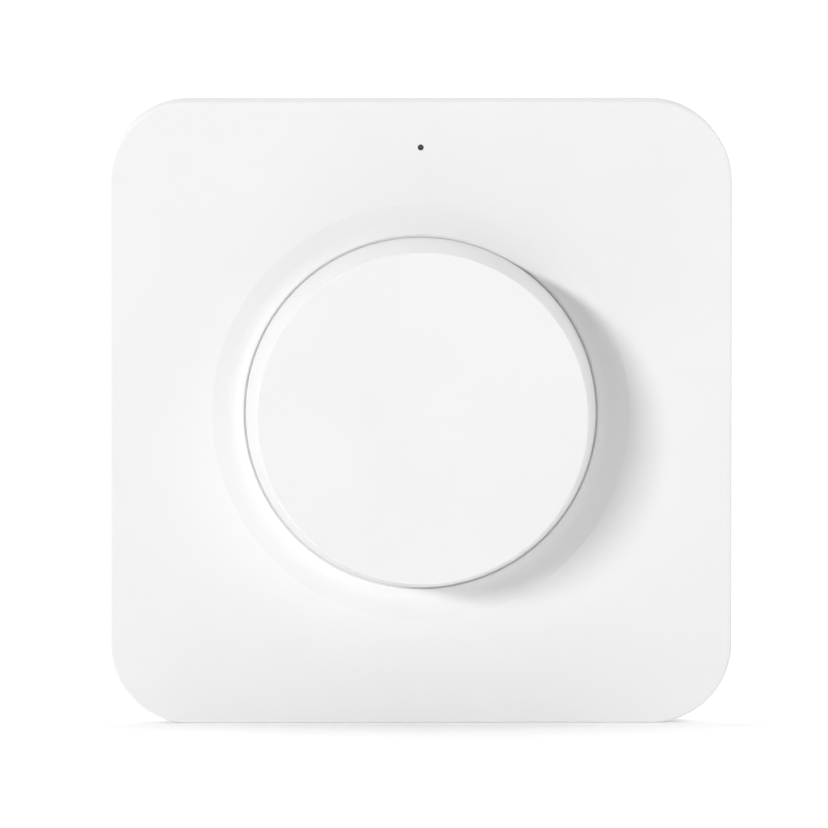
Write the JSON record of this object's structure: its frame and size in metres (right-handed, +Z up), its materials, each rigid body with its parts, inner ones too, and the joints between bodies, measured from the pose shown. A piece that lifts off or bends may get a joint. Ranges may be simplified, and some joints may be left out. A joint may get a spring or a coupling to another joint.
{
  "type": "wireless wall dimmer switch",
  "caption": "Square wall plate with rounded corners and a large round dial that turns to dim and pushes to switch, battery powered, on a magnetic wall plate.",
  "frame": {"origin": "centre of the face that meets the wall, on the dial's axis", "axes": "+Z up the wall, +Y into the wall, the dial faces -Y, +X to the right as seen from the room"},
  "size_m": [0.086, 0.027, 0.086],
  "materials": {
    "white_plastic": "fine satin moulded texture",
    "back_plastic": "plain moulded",
    "inner_plastic": "plain moulded",
    "black_plastic": "plain moulded",
    "smoked_lens": "smoked, polished",
    "led_body": "clear epoxy",
    "board_green": "solder mask",
    "foam_tape": "closed-cell foam with a paper liner",
    "plain_steel": "zinc plated",
    "spring_steel": "bright rolled",
    "nickel": "nickel plated",
    "die_cast": "die cast",
    "tinned_brass": "tin plated",
    "ceramic_chip": "sintered"
  },
  "bodies": {
    "wall_plate": {"wall_plate": "back_plastic", "adhesive_pad": "foam_tape", "steel_discs": "plain_steel"},
    "module": {"front_cover": "white_plastic", "rear_cover": "back_plastic", "case_screws": "plain_steel", "magnets": "nickel", "coin_cell": "plain_steel", "battery_holder": "black_plastic", "positive_contact": "spring_steel", "negative_contact": "spring_steel", "circuit_board": "board_green", "radio_board": "board_green", "radio_shield": "nickel", "chip_parts": "ceramic_chip", "indicator_led": "led_body", "light_pipe": "smoked_lens", "encoder_base": "black_plastic", "encoder_frame": "plain_steel", "encoder_bushing": "die_cast", "encoder_pins": "tinned_brass", "switch_dome": "spring_steel"},
    "battery_door": {"battery_door": "back_plastic"},
    "encoder_rotor": {"encoder_rotor": "black_plastic"},
    "dial": {"dial_cap": "white_plastic", "dial_hub": "inner_plastic", "encoder_shaft": "die_cast", "switch_plunger": "black_plastic"}
  },
  "joints": [
    {"name": "module_lift", "type": "slide", "parent": "wall_plate", "child": "module", "axis": [0, -1, 0], "range_m": [0, 0.03]},
    {"name": "battery_door_turn", "type": "hinge", "parent": "module", "child": "battery_door", "pos_m": [0, -0.004, -0.0208], "axis": [0, 1, 0], "range_deg": [0, 30]},
    {"name": "dial_turn", "type": "hinge", "parent": "module", "child": "encoder_rotor", "pos_m": [0, -0.0115, 0], "axis": [0, -1, 0], "continuous": true},
    {"name": "dial_press", "type": "slide", "parent": "encoder_rotor", "child": "dial", "axis": [0, 1, 0], "range_m": [0, 0.0005], "stiffness_N_per_m": 1200, "springref_m": -0.002, "deforming": ["switch_dome"]}
  ]
}
